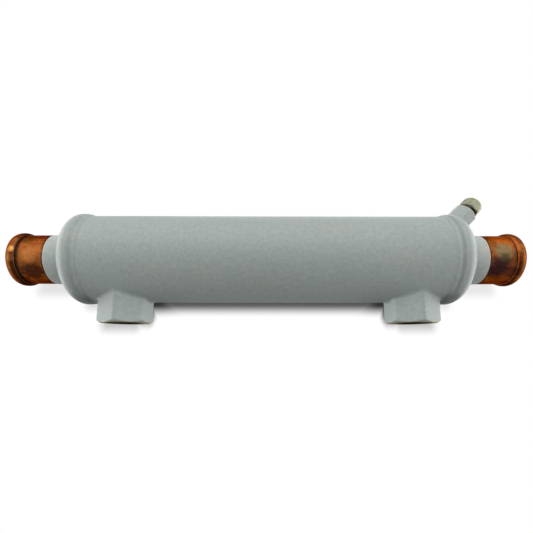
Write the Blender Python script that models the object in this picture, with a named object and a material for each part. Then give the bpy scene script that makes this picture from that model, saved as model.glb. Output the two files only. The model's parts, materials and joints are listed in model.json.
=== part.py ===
"""Hydraulic oil cooler: a small brazed shell-and-tube heat exchanger.

The shell lies along X, the oil ports point down (-Z) and the part stands on their two flat
faces. The origin is on that plane, midway along the cooler, under the shell's axis.
Lengths below are in millimetres; MM turns them into Blender's metres.
"""

import math

import bmesh
import bpy
from mathutils import Matrix, Vector

MM = 0.001
INCH = 25.4

# ---------------------------------------------------------------- driving dimensions
SHELL_OD = 2.0 * INCH
SHELL_WALL = 1.6
OVERALL_LENGTH = 288.0

SPIGOT_OD = 1.125 * INCH
SPIGOT_WALL = 1.1
BEAD_HEIGHT = 1.25
BEAD_LENGTH = 4.9
BEAD_STEPS = 6
SPIGOT_LIP = 0.3
SPIGOT_BORE_CHAMFER = (0.6, 0.2)

CAP_WALL = 0.85
CAP_SEAM_X = 101.0
CAP_LAP = 3.6
CAP_RIM_LENGTH = 4.4
CAP_EDGE_DROP = 0.2
CAP_EDGE_LENGTH = 0.8
CAP_OUTER_STEPS = 8
CAP_INNER_STEPS = 6
SHOULDER_LENGTH = 8.3
SHOULDER_POWER = 1.8
COLLAR_WALL = 0.75
COLLAR_LENGTH = 2.6

PORT_HEX_AF = 1.0625 * INCH
PORT_LEFT_X = -82.0
PORT_RIGHT_X = 84.4
PORT_FACE_DROP = 37.6
PORT_LEFT_TURN = 2.0
PORT_RIGHT_TURN = -2.0
PORT_THREAD_R = 9.9
PORT_MOUTH_R = 10.7
PORT_THREAD_DEPTH = 9.0
OIL_HOLE_R = 8.2

TUBE_OD = 0.25 * INCH
TUBE_WALL = 0.6
TUBE_PITCH = 7.6
TUBE_PROUD = 0.8
TUBE_FIELD_R = 19.5
SHEET_X = 99.8
SHEET_THICKNESS = 3.0
BAFFLE_COUNT = 5
BAFFLE_SPACING = 27.0
BAFFLE_THICKNESS = 1.2
BAFFLE_TOP_WINDOW_Z = 9.2
BAFFLE_BOTTOM_WINDOW_Z = -11.4

BOSS_ANGLE = 45.0
BOSS_MOUTH_X = 120.7
BOSS_MOUTH_R = 29.5
BOSS_HEX_AF = 0.5 * INCH
BOSS_SOCKET_R = 5.15
BOSS_SOCKET_DEPTH = 7.6
BOSS_THROAT_R = 4.2
BOSS_BLANK_LENGTH = 22.0
ANODE_HOLE_R = 3.65
ANODE_HOLE_START = -18.0
ANODE_HOLE_END = -9.0

PLUG_HEX_AF = 0.4375 * INCH
PLUG_HEAD_HEIGHT = 6.6
PLUG_HEAD_CHAMFER = ((1.6, -0.2), (0.5, 1.1), (0.05, 2.6))
PLUG_NECK = 2.1
PLUG_SHANK_R = 4.85
PLUG_SHANK_LENGTH = 6.6
PLUG_SHANK_TAPER = (0.5, 0.4)
PLUG_TURN = 12.0

ANODE_R = 0.125 * INCH
ANODE_LENGTH = 14.0
ANODE_STUB_R = 2.2
ANODE_STUB_LENGTH = 4.6
ANODE_TIP_CHAMFER = 0.5

GAP = 0.3
LAP_GAP = 0.25
CUT_MARGIN = 1.0

# ---------------------------------------------------------------- derived dimensions
SHELL_R = SHELL_OD / 2
SHELL_BORE_R = SHELL_R - SHELL_WALL
SHELL_END_X = CAP_SEAM_X + CAP_LAP
SPIGOT_R = SPIGOT_OD / 2
SPIGOT_BORE_R = SPIGOT_R - SPIGOT_WALL
END_X = OVERALL_LENGTH / 2
CAP_BORE_R = SHELL_R + LAP_GAP
CAP_RIM_R = CAP_BORE_R + CAP_WALL
CREST_X = CAP_SEAM_X + CAP_RIM_LENGTH
NECK_X = CREST_X + SHOULDER_LENGTH
COLLAR_BORE_R = SPIGOT_R + LAP_GAP
COLLAR_R = COLLAR_BORE_R + COLLAR_WALL
COLLAR_END_X = NECK_X + COLLAR_LENGTH
TUBE_R = TUBE_OD / 2
TUBE_HOLE_R = TUBE_R + GAP
SHEET_OUTER_X = SHEET_X + SHEET_THICKNESS
TUBE_END_X = SHEET_OUTER_X + TUBE_PROUD
AXIS_Z = PORT_FACE_DROP

ROUND_SEGMENTS = 32
SMALL_SEGMENTS = 24
TUBE_SEGMENTS = 8
SHARP_ANGLE = math.radians(35)


# ---------------------------------------------------------------- materials
def metal(name, colour, roughness, metallic):
    """A plain Principled material."""
    material = bpy.data.materials.new(name)
    material.use_nodes = True
    shader = material.node_tree.nodes["Principled BSDF"]
    shader.inputs["Base Color"].default_value = (*colour, 1.0)
    shader.inputs["Roughness"].default_value = roughness
    shader.inputs["Metallic"].default_value = metallic
    material.diffuse_color = (*colour, 1.0)
    return material


def make_materials():
    return {
        "grey_enamel": metal("grey_enamel", (0.36, 0.39, 0.38), 0.45, 0.0),
        "port_enamel": metal("port_enamel", (0.34, 0.37, 0.36), 0.50, 0.0),
        "bare_copper": metal("bare_copper", (0.55, 0.20, 0.07), 0.30, 1.0),
        "plug_brass": metal("plug_brass", (0.45, 0.41, 0.25), 0.40, 1.0),
        "zinc": metal("zinc", (0.50, 0.52, 0.54), 0.55, 1.0),
        "cupronickel": metal("cupronickel", (0.60, 0.48, 0.38), 0.35, 1.0),
        "sheet_brass": metal("sheet_brass", (0.62, 0.45, 0.18), 0.40, 1.0),
    }


# ---------------------------------------------------------------- shape helpers
def add_object(name, mesh, material=None, parent=None, matrix=None):
    """Link a mesh as a named object, placed in its parent's space."""
    thing = bpy.data.objects.new(name, mesh)
    bpy.context.scene.collection.objects.link(thing)
    if material:
        mesh.materials.append(material)
    if parent:
        thing.parent = parent
    thing.matrix_basis = matrix or Matrix()
    return thing


def add_empty(name, matrix):
    """An empty that carries a group of pieces."""
    empty = bpy.data.objects.new(name, None)
    bpy.context.scene.collection.objects.link(empty)
    empty.matrix_basis = matrix
    return empty


def finish_mesh(name, bm):
    """Turn a bmesh into a mesh with outward faces and smooth round surfaces."""
    bmesh.ops.recalc_face_normals(bm, faces=bm.faces)
    mesh = bpy.data.meshes.new(name)
    bm.to_mesh(mesh)
    bm.free()
    mesh.shade_smooth()
    mesh.set_sharp_from_angle(angle=SHARP_ANGLE)
    return mesh


def turned_mesh(name, outline, segments=ROUND_SEGMENTS):
    """Spin a closed outline of (distance along X, radius) points about the X axis."""
    bm = bmesh.new()
    verts = []
    for along, radius in outline:
        verts.append(bm.verts.new((along * MM, 0.0, radius * MM)))
    edges = []
    for index, vert in enumerate(verts):
        edges.append(bm.edges.new((vert, verts[(index + 1) % len(verts)])))
    bmesh.ops.spin(
        bm,
        geom=verts + edges,
        cent=(0.0, 0.0, 0.0),
        axis=(1.0, 0.0, 0.0),
        angle=math.tau,
        steps=segments,
        use_merge=True,
    )
    bmesh.ops.remove_doubles(bm, verts=bm.verts, dist=1e-7)
    on_axis = [edge for edge in bm.edges if not edge.link_faces]
    bmesh.ops.delete(bm, geom=on_axis, context="EDGES")
    return finish_mesh(name, bm)


def bar_mesh(name, start, end, radius, segments):
    """A solid round or many-sided bar along X, its first corner towards +Z."""
    return turned_mesh(name, [(start, 0.0), (start, radius), (end, radius), (end, 0.0)], segments)


def hex_radius(across_flats):
    """Corner radius of a hexagon."""
    return across_flats / math.sqrt(3)


def cut(target, cutter, operation="DIFFERENCE"):
    """Add a Boolean with a hidden cutter."""
    cutter.hide_render = True
    cutter.display_type = "WIRE"
    modifier = target.modifiers.new(cutter.name, "BOOLEAN")
    modifier.operation = operation
    modifier.solver = "EXACT"
    modifier.object = cutter


def arc_points(centre, radii, start, end, steps):
    """Points on an ellipse in the (along, radius) plane, angles in degrees."""
    points = []
    for step in range(steps + 1):
        angle = math.radians(start + (end - start) * step / steps)
        x = centre[0] + radii[0] * math.cos(angle)
        r = centre[1] + radii[1] * math.sin(angle)
        points.append((x, r))
    return points


def shoulder_points(start_x, length, high_r, low_r, steps):
    """The cap's rounded shoulder: a superellipse from the rim down to the neck."""
    points = []
    for step in range(steps + 1):
        angle = math.pi / 2 * step / steps
        fall = max(math.cos(angle), 0.0) ** (2 / SHOULDER_POWER)
        reach = math.sin(angle) ** (2 / SHOULDER_POWER)
        points.append((start_x + length * reach, low_r + (high_r - low_r) * fall))
    return points


# ---------------------------------------------------------------- frames
def along(side):
    """Local +X points outwards, to the end named by side (-1 left, +1 right)."""
    return Matrix.Scale(1.0, 4) if side > 0 else Matrix.Rotation(math.pi, 4, "Z")


def downwards(x):
    """Local +X points down a port's axis; local zero is on the shell's axis."""
    return Matrix.Translation((x * MM, 0.0, 0.0)) @ Matrix.Rotation(math.pi / 2, 4, "Y")


def plug_frame():
    """World frame at the boss mouth, with local +X pointing out along the plug's axis."""
    place = Vector((BOSS_MOUTH_X * MM, 0.0, (AXIS_Z + BOSS_MOUTH_R) * MM))
    return Matrix.Translation(place) @ Matrix.Rotation(-math.radians(BOSS_ANGLE), 4, "Y")


def spun(degrees):
    """A turn about the local X axis."""
    return Matrix.Rotation(math.radians(degrees), 4, "X")


# ---------------------------------------------------------------- shell
def make_shell(axis, materials):
    outline = [
        (-SHELL_END_X, SHELL_BORE_R),
        (-SHELL_END_X, SHELL_R),
        (SHELL_END_X, SHELL_R),
        (SHELL_END_X, SHELL_BORE_R),
    ]
    shell = add_object("shell", turned_mesh("shell", outline), materials["grey_enamel"], axis)
    for label, x in (("left", PORT_LEFT_X), ("right", PORT_RIGHT_X)):
        hole = bar_mesh("oil_hole", 0.0, PORT_FACE_DROP, OIL_HOLE_R, SMALL_SEGMENTS)
        cut(shell, add_object(f"oil_hole_{label}", hole, parent=axis, matrix=downwards(x)))
    return shell


# ---------------------------------------------------------------- end caps
def cap_outer_points(clearance=0.0):
    """Outside of a cap from the seam to the end of its collar."""
    rim_r = CAP_RIM_R + clearance
    points = [(CAP_SEAM_X, rim_r - CAP_EDGE_DROP), (CAP_SEAM_X + CAP_EDGE_LENGTH, rim_r)]
    points += shoulder_points(CREST_X, SHOULDER_LENGTH + clearance, rim_r,
                              COLLAR_R + clearance, CAP_OUTER_STEPS)
    points.append((COLLAR_END_X + clearance, COLLAR_R + clearance))
    return points


def cap_inner_points():
    """Inside of a cap from the end of its collar back to the seam."""
    inner_length = SHOULDER_LENGTH - CAP_WALL
    dome = shoulder_points(CREST_X, inner_length, CAP_BORE_R, COLLAR_BORE_R, CAP_INNER_STEPS)
    points = [(COLLAR_END_X, COLLAR_BORE_R)]
    points += reversed(dome)
    points.append((CAP_SEAM_X, CAP_BORE_R))
    return points


def make_end_cap(name, side, axis, materials):
    """A spun bell that laps over the shell and closes round the hose spigot."""
    mesh = turned_mesh(name, cap_outer_points() + cap_inner_points())
    return add_object(name, mesh, materials["grey_enamel"], axis, along(side))


# ---------------------------------------------------------------- hose spigots
def make_hose_spigot(name, side, axis, materials):
    """A copper tube with a rolled hose bead at its open end."""
    start_x = NECK_X - CAP_WALL + LAP_GAP
    bead_x = END_X - BEAD_LENGTH / 2
    bead = (BEAD_LENGTH / 2, BEAD_HEIGHT)
    chamfer_length, chamfer_height = SPIGOT_BORE_CHAMFER
    outline = [(start_x, SPIGOT_BORE_R), (start_x, SPIGOT_R)]
    outline += arc_points((bead_x, SPIGOT_R), bead, 180, 10, BEAD_STEPS)
    outline.append((END_X, SPIGOT_R - SPIGOT_LIP))
    outline.append((END_X, SPIGOT_BORE_R + chamfer_height))
    outline.append((END_X - chamfer_length, SPIGOT_BORE_R))
    mesh = turned_mesh(name, outline)
    return add_object(name, mesh, materials["bare_copper"], axis, along(side))


# ---------------------------------------------------------------- oil ports
def make_oil_port(label, x, turn, axis, materials):
    """A hexagonal half coupling, saddled onto the shell, with a threaded socket."""
    name = f"oil_port_{label}"
    body = bar_mesh(name, SHELL_R * 0.7, PORT_FACE_DROP, hex_radius(PORT_HEX_AF), 6)
    port = add_object(name, body, materials["port_enamel"], axis,
                      downwards(x) @ spun(90 + turn))
    saddle = bar_mesh("saddle", -SHELL_END_X, SHELL_END_X, SHELL_R + GAP, ROUND_SEGMENTS)
    cut(port, add_object(f"saddle_{label}", saddle, parent=axis))
    mouth_depth = PORT_MOUTH_R - PORT_THREAD_R
    thread_end = PORT_FACE_DROP - PORT_THREAD_DEPTH
    outline = [
        (0.0, 0.0),
        (0.0, OIL_HOLE_R),
        (thread_end, OIL_HOLE_R),
        (thread_end, PORT_THREAD_R),
        (PORT_FACE_DROP - mouth_depth, PORT_THREAD_R),
        (PORT_FACE_DROP + mouth_depth, PORT_MOUTH_R + mouth_depth),
        (PORT_FACE_DROP + mouth_depth, 0.0),
    ]
    socket = turned_mesh("socket", outline, SMALL_SEGMENTS)
    cut(port, add_object(f"socket_{label}", socket, parent=axis, matrix=downwards(x)))
    return port


# ---------------------------------------------------------------- tube bundle
def tube_places():
    """(y, z) of each cooling tube: a triangular lattice centred on a triangle's middle."""
    row_height = TUBE_PITCH * math.sqrt(3) / 2
    places = []
    for row in range(-4, 5):
        z = TUBE_PITCH / math.sqrt(12) + row * row_height
        for column in range(-4, 5):
            y = (column + 0.5 * (row % 2)) * TUBE_PITCH + 0.5 * TUBE_PITCH
            if math.hypot(y, z) <= TUBE_FIELD_R:
                places.append((y, z))
    return places


def make_cooling_tubes(axis, materials):
    outline = [
        (-TUBE_END_X, TUBE_R - TUBE_WALL),
        (-TUBE_END_X, TUBE_R),
        (TUBE_END_X, TUBE_R),
        (TUBE_END_X, TUBE_R - TUBE_WALL),
    ]
    mesh = turned_mesh("cooling_tube", outline, TUBE_SEGMENTS)
    mesh.materials.append(materials["cupronickel"])
    tubes = []
    for number, (y, z) in enumerate(tube_places(), 1):
        place = Matrix.Translation((0.0, y * MM, z * MM))
        tubes.append(add_object(f"cooling_tube_{number:02d}", mesh, parent=axis, matrix=place))
    return tubes


def tube_hole_mesh():
    """One cutter with a bar for every tube hole, a little wider than the tubes."""
    bm = bmesh.new()
    bar = bar_mesh("tube_hole", -SHELL_END_X, SHELL_END_X, TUBE_HOLE_R, TUBE_SEGMENTS)
    for y, z in tube_places():
        start = len(bm.verts)
        bm.from_mesh(bar)
        bm.verts.ensure_lookup_table()
        bmesh.ops.translate(bm, verts=bm.verts[start:], vec=(0.0, y * MM, z * MM))
    return finish_mesh("tube_holes", bm)


def make_tube_sheets(axis, holes, materials):
    for label, side in (("left", -1), ("right", 1)):
        name = f"tube_sheet_{label}"
        disc = bar_mesh(name, SHEET_X, SHEET_OUTER_X, SHELL_BORE_R - GAP, ROUND_SEGMENTS)
        sheet = add_object(name, disc, materials["sheet_brass"], axis, along(side))
        cut(sheet, holes)


def make_baffles(axis, holes, materials):
    """Segmental baffles with their windows at the top and the bottom in turn."""
    windows = []
    for label, low, high in (
        ("top", BAFFLE_TOP_WINDOW_Z, SHELL_R),
        ("bottom", -SHELL_R, BAFFLE_BOTTOM_WINDOW_Z),
    ):
        bm = bmesh.new()
        bmesh.ops.create_cube(bm, size=MM)
        stretch = Vector((2 * SHELL_END_X, 2 * SHELL_R, high - low))
        bmesh.ops.scale(bm, verts=bm.verts, vec=stretch)
        bmesh.ops.translate(bm, verts=bm.verts, vec=(0.0, 0.0, (low + high) / 2 * MM))
        windows.append(add_object(f"window_{label}", finish_mesh("window", bm), parent=axis))
    for index in range(BAFFLE_COUNT):
        name = f"baffle_{index + 1}"
        x = (index - (BAFFLE_COUNT - 1) / 2) * BAFFLE_SPACING
        half = BAFFLE_THICKNESS / 2
        disc = bar_mesh(name, x - half, x + half, SHELL_BORE_R - GAP, ROUND_SEGMENTS)
        baffle = add_object(name, disc, materials["sheet_brass"], axis)
        cut(baffle, windows[index % 2])
        cut(baffle, holes)


# ---------------------------------------------------------------- anode fitting
def make_anode_boss(axis, plug_matrix, materials):
    """The small half coupling brazed to the right-hand cap's shoulder."""
    corner = hex_radius(BOSS_HEX_AF)
    hexagon = bar_mesh("anode_boss", -BOSS_BLANK_LENGTH, 0.0, corner, 6)
    local = axis.matrix_basis.inverted() @ plug_matrix
    boss = add_object("anode_boss", hexagon, materials["port_enamel"], axis, local @ spun(90))
    dome = [(SHELL_R, 0.0)] + [(SHELL_R, CAP_RIM_R)] + cap_outer_points(GAP)
    dome.append((COLLAR_END_X + GAP, 0.0))
    form = turned_mesh("cap_form", dome)
    cut(boss, add_object("cap_form", form, parent=axis))
    throat_end = -BOSS_BLANK_LENGTH - CUT_MARGIN
    outline = [
        (throat_end, 0.0),
        (throat_end, BOSS_THROAT_R),
        (-BOSS_SOCKET_DEPTH, BOSS_THROAT_R),
        (-BOSS_SOCKET_DEPTH, BOSS_SOCKET_R),
        (CUT_MARGIN, BOSS_SOCKET_R),
        (CUT_MARGIN, 0.0),
    ]
    socket = turned_mesh("boss_socket", outline, SMALL_SEGMENTS)
    cut(boss, add_object("boss_socket", socket, parent=axis, matrix=local))
    return boss


def cut_anode_hole(cap, axis, plug_matrix):
    """The hole in the right-hand cap that the zinc passes through."""
    hole = bar_mesh("anode_hole", ANODE_HOLE_START, ANODE_HOLE_END, ANODE_HOLE_R, SMALL_SEGMENTS)
    local = axis.matrix_basis.inverted() @ plug_matrix
    cut(cap, add_object("anode_hole", hole, parent=axis, matrix=local))


def make_anode_plug(plug_axis, materials):
    """A hex-headed pipe plug with a blind socket for the zinc."""
    head_top = PLUG_NECK + PLUG_HEAD_HEIGHT
    corner = hex_radius(PLUG_HEX_AF)
    hexagon = bar_mesh("anode_plug", PLUG_NECK, head_top, corner, 6)
    plug = add_object("anode_plug", hexagon, materials["plug_brass"], plug_axis,
                      spun(PLUG_TURN))
    chamfer_form = [(PLUG_NECK - CUT_MARGIN, 0.0), (PLUG_NECK - CUT_MARGIN, corner + CUT_MARGIN)]
    for drop, inset in PLUG_HEAD_CHAMFER:
        chamfer_form.append((head_top - drop, corner - inset))
    chamfer_form.append((chamfer_form[-1][0], 0.0))
    form = turned_mesh("plug_chamfer", chamfer_form, SMALL_SEGMENTS)
    cut(plug, add_object("plug_chamfer", form, parent=plug_axis), "INTERSECT")
    taper_length, taper_depth = PLUG_SHANK_TAPER
    inside_head = PLUG_NECK + CUT_MARGIN
    shank = [
        (-PLUG_SHANK_LENGTH, 0.0),
        (-PLUG_SHANK_LENGTH, PLUG_SHANK_R - taper_depth),
        (-PLUG_SHANK_LENGTH + taper_length, PLUG_SHANK_R),
        (inside_head, PLUG_SHANK_R),
        (inside_head, 0.0),
    ]
    stem = turned_mesh("plug_shank", shank, SMALL_SEGMENTS)
    cut(plug, add_object("plug_shank", stem, parent=plug_axis), "UNION")
    socket_r = ANODE_STUB_R + GAP
    socket_top = -PLUG_SHANK_LENGTH + ANODE_STUB_LENGTH + GAP
    below = -PLUG_SHANK_LENGTH - CUT_MARGIN
    bore = bar_mesh("zinc_socket", below, socket_top, socket_r, TUBE_SEGMENTS)
    cut(plug, add_object("zinc_socket", bore, parent=plug_axis))
    return plug


def make_zinc_anode(plug_axis, materials):
    """The sacrificial zinc pencil with the stub that holds it in the plug."""
    top = -PLUG_SHANK_LENGTH - GAP
    bottom = top - ANODE_LENGTH
    outline = [
        (bottom, 0.0),
        (bottom, ANODE_R - ANODE_TIP_CHAMFER),
        (bottom + ANODE_TIP_CHAMFER, ANODE_R),
        (top, ANODE_R),
        (top, ANODE_STUB_R),
        (top + ANODE_STUB_LENGTH, ANODE_STUB_R),
        (top + ANODE_STUB_LENGTH, 0.0),
    ]
    mesh = turned_mesh("zinc_anode", outline, TUBE_SEGMENTS * 2)
    return add_object("zinc_anode", mesh, materials["zinc"], plug_axis)


# ---------------------------------------------------------------- assembly
def main():
    for thing in list(bpy.data.objects):
        bpy.data.objects.remove(thing, do_unlink=True)
    materials = make_materials()
    axis = add_empty("shell_axis", Matrix.Translation((0.0, 0.0, AXIS_Z * MM)))
    plug_matrix = plug_frame()
    plug_axis = add_empty("plug_axis", plug_matrix)

    make_shell(axis, materials)
    make_end_cap("end_cap_left", -1, axis, materials)
    right_cap = make_end_cap("end_cap_right", 1, axis, materials)
    make_hose_spigot("hose_spigot_left", -1, axis, materials)
    make_hose_spigot("hose_spigot_right", 1, axis, materials)
    make_oil_port("left", PORT_LEFT_X, PORT_LEFT_TURN, axis, materials)
    make_oil_port("right", PORT_RIGHT_X, PORT_RIGHT_TURN, axis, materials)

    make_cooling_tubes(axis, materials)
    holes = add_object("tube_holes", tube_hole_mesh(), parent=axis)
    make_tube_sheets(axis, holes, materials)
    make_baffles(axis, holes, materials)

    make_anode_boss(axis, plug_matrix, materials)
    cut_anode_hole(right_cap, axis, plug_matrix)
    make_anode_plug(plug_axis, materials)
    make_zinc_anode(plug_axis, materials)


main()
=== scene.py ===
"""Looks of a brazed hydraulic oil cooler, laid over its packed frame.

X runs along the shell, the oil ports point down and the part stands on their faces. Each
operator makes one piece, or one group of like pieces, from the sizes and colours in its
property group. Sizes in this file's tables are in millimetres.
"""

import json
import math

import bmesh
import bpy
from bpy.props import FloatProperty, FloatVectorProperty, IntProperty, PointerProperty
from mathutils import Matrix, Vector


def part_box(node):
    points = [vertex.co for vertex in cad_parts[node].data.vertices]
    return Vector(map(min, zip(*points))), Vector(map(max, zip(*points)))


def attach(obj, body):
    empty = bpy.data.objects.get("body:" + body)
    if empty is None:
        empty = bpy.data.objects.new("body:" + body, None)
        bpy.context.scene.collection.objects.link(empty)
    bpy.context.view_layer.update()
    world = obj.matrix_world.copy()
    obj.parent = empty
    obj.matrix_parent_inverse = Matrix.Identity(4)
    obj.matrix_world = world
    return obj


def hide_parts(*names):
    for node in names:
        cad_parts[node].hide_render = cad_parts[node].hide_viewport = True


bl_info = {
    "name": "Hydraulic Oil Cooler",
    "version": (1, 0, 0),
    "blender": (4, 5, 0),
    "location": "3D View > Sidebar > Oil Cooler",
    "description": "Builds the pieces, finishes and stage of a brazed shell-and-tube oil cooler",
    "category": "Object",
}

MM = 0.001
SHARP_DEGREES = 32.0
THREAD_STEPS = 8
LATTICE_SIDE = 9
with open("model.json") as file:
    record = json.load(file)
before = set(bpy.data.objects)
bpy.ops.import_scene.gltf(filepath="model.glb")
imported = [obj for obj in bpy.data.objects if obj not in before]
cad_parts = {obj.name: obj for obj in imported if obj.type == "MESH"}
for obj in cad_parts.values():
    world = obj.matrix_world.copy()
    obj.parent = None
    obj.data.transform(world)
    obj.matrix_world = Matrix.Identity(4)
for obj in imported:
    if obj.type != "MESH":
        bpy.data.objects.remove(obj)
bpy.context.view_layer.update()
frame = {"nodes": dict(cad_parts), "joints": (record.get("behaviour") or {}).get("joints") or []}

SHELL_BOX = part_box("shell")
CAP_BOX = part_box("end_cap_right")
SPIGOT_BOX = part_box("hose_spigot_right")
SHEET_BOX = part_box("tube_sheet_right")
TUBE_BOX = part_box("cooling_tube_01")
AXIS_Z = (SHELL_BOX[0].z + SHELL_BOX[1].z) / 2
SHELL_R = (SHELL_BOX[1].z - SHELL_BOX[0].z) / 2
CAP_R = (CAP_BOX[1].z - CAP_BOX[0].z) / 2
SEAM_X = CAP_BOX[0].x
COLLAR_END_X = CAP_BOX[1].x
END_X = SPIGOT_BOX[1].x
PORT_X = {}
for port_side in ("left", "right"):
    port_low, port_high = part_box(f"oil_port_{port_side}")
    PORT_X[port_side] = (port_low.x + port_high.x) / 2
PLUG_JOINT = next(joint for joint in frame["joints"] if joint["name"] == "plug_turn")
PLUG_MOUTH = Vector(PLUG_JOINT["pos_m"])
PLUG_AXIS = Vector(PLUG_JOINT["axis"])


def length(name, description, size):
    """A length property with its default in millimetres."""
    return FloatProperty(
        name=name, description=description, default=size * MM, unit="LENGTH", precision=5
    )


def share(name, description, amount):
    """A plain factor property."""
    return FloatProperty(name=name, description=description, default=amount, soft_min=0.0)


def colour(name, description, value):
    """A linear colour property."""
    return FloatVectorProperty(
        name=name, description=description, default=value, subtype="COLOR", min=0.0, max=1.0
    )


# ---------------------------------------------------------------- sizes and colours
class EnamelSettings(bpy.types.PropertyGroup):
    """Grey enamel that covers everything but the hose ends."""

    body: colour("Grey", "Colour of the enamel", (0.276, 0.314, 0.300))
    warm: colour("Warm cast", "Where the coat is thin over copper", (0.335, 0.312, 0.290))
    # Dark colour for soiling in the seams, also used as painted shade along the seams and low on
    # the caps.
    grime_and_shade: colour("Grime", "Dirt held in seams and corners", (0.115, 0.125, 0.118))
    roughness: share("Roughness", "Satin sheen of the coat", 0.47)
    # Painted light: the enamel is made lighter toward the ends, standing in for the brighter light
    # that the domes and collars catch.
    lighter: share("Lighter ends", "How much lighter the coat is at the paint edges", 0.36)
    masked_at: length("Mask edge", "Distance from the middle to the edge of the paint", 124.0)
    film: length("Film", "Thickness of the paint over the spigots", 0.09)


class ShellSettings(bpy.types.PropertyGroup):
    """The rolled shell."""

    wall: length("Wall", "Thickness of the shell", 1.6)
    hole: length("Oil hole", "Radius of the holes under the oil ports", 8.2)
    waviness: length("Waviness", "Depth of the dents left by rolling and brazing", 0.16)
    segments: IntProperty(name="Segments", description="Facets round the shell", default=160)
    cuts: IntProperty(name="Cuts", description="Rings along the shell", default=30)


class CapSettings(bpy.types.PropertyGroup):
    """The spun end caps."""

    wall: length("Wall", "Thickness of the spun metal", 0.85)
    rim: length("Rim", "Length of the lap from the seam to the crest", 4.4)
    shoulder: length("Shoulder", "Length of the rounded shoulder", 8.3)
    power: share("Fullness", "Superellipse power of the shoulder", 1.8)
    throat: length("Neck", "Radius at the neck, where the paint runs on to the spigot", 14.62)
    zinc_hole: length("Zinc hole", "Radius of the hole for the zinc", 3.65)


class SpigotSettings(bpy.types.PropertyGroup):
    """The copper hose spigots."""

    radius: length("Radius", "Outside radius of the tube", 14.2875)
    start: length("Start", "Distance from the seam to the tube's end inside the cap", 12.6)
    wall: length("Wall", "Thickness of the tube", 1.1)
    bead: length("Bead height", "Height of the rolled hose bead", 1.25)
    bead_length: length("Bead length", "Length of the rolled hose bead", 4.9)
    copper: colour("Copper", "Clean heat-coloured copper", (0.400, 0.125, 0.030))
    # Brown oxide, also used as painted shade on the outer rim of each bead.
    tarnish_and_rim_shade: colour("Tarnish", "Brown oxide", (0.105, 0.034, 0.011))
    # Blackened copper, also used as painted shade in the groove behind each bead and along the
    # edge of the paint.
    soot_and_shade: colour("Soot", "Blackened copper near the brazing", (0.030, 0.017, 0.012))


class PortSettings(bpy.types.PropertyGroup):
    """The hexagonal oil ports."""

    across_flats: length("Across flats", "Spanner size of the port", 26.9875)
    turn: FloatProperty(
        name="Turn", description="Turn of the hexagon", default=math.radians(2), subtype="ANGLE"
    )
    thread: length("Thread", "Mean radius of the thread", 9.9)
    pitch: length("Pitch", "Length of one turn of thread", 1.814)
    depth: length("Thread depth", "How far the thread runs in", 9.0)
    mouth: length("Mouth", "Radius of the mouth chamfer", 10.7)
    fillet: length("Braze fillet", "Radius of the braze at the shell", 1.3)


class PlugSettings(bpy.types.PropertyGroup):
    """The zinc's boss, plug and pencil."""

    boss_flats: length("Boss flats", "Spanner size of the boss", 12.7)
    plug_flats: length("Plug flats", "Spanner size of the plug", 11.1125)
    head: length("Head", "Height of the plug's head", 6.6)
    neck: length("Neck", "Gap under the head", 2.1)
    shank: length("Shank", "Length of the threaded shank", 6.6)
    turn: FloatProperty(
        name="Turn", description="Turn of the head", default=math.radians(12), subtype="ANGLE"
    )
    pitch: length("Pitch", "Length of one turn of thread", 0.941)
    zinc_radius: length("Zinc radius", "Radius of the zinc pencil", 3.175)
    zinc_length: length("Zinc length", "Length of the zinc pencil", 14.0)
    stub_radius: length("Stub radius", "Radius of the stub held by the plug", 2.2)
    stub_length: length("Stub length", "Length of the stub held by the plug", 4.6)
    brass: colour("Brass", "Dull brass of the plug", (0.350, 0.350, 0.215))
    zinc: colour("Zinc", "Cast zinc", (0.46, 0.48, 0.50))


class CoreSettings(bpy.types.PropertyGroup):
    """The tube bundle inside."""

    pitch: length("Tube pitch", "Distance between tube centres", 7.6)
    field: length("Field", "Radius of the circle that tube centres stay within", 19.5)
    wall: length("Tube wall", "Thickness of a cooling tube", 0.6)
    segments: IntProperty(name="Segments", description="Facets round a tube", default=24)


class StageSettings(bpy.types.PropertyGroup):
    """Floor, board, lights and camera."""

    key: FloatProperty(name="Key", description="Strength of the main light", default=4.3)
    fill: FloatProperty(
        name="Surroundings", description="Strength of the surroundings", default=1.0
    )
    lens: FloatProperty(name="Lens", description="Focal length", default=22.1, unit="CAMERA")


# ---------------------------------------------------------------- node trees
class Wire:
    """A node's output that takes part in ordinary arithmetic."""

    def __init__(self, graph, socket):
        self.graph = graph
        self.socket = socket

    def maths(self, operation, *values):
        return self.graph.maths(operation, *values)

    def __add__(self, other):
        return self.maths("ADD", self, other)

    def __radd__(self, other):
        return self.maths("ADD", other, self)

    def __sub__(self, other):
        return self.maths("SUBTRACT", self, other)

    def __rsub__(self, other):
        return self.maths("SUBTRACT", other, self)

    def __mul__(self, other):
        return self.maths("MULTIPLY", self, other)

    def __rmul__(self, other):
        return self.maths("MULTIPLY", other, self)

    def __truediv__(self, other):
        return self.maths("DIVIDE", self, other)

    def __rtruediv__(self, other):
        return self.maths("DIVIDE", other, self)

    def __abs__(self):
        return self.maths("ABSOLUTE", self)

    def __mod__(self, other):
        return self.maths("FLOORED_MODULO", self, other)

    def __gt__(self, other):
        return self.maths("GREATER_THAN", self, other)

    def floor(self):
        return self.maths("FLOOR", self)

    def output(self, name):
        """Another output of the same node."""
        return Wire(self.graph, self.socket.node.outputs[name])


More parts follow.
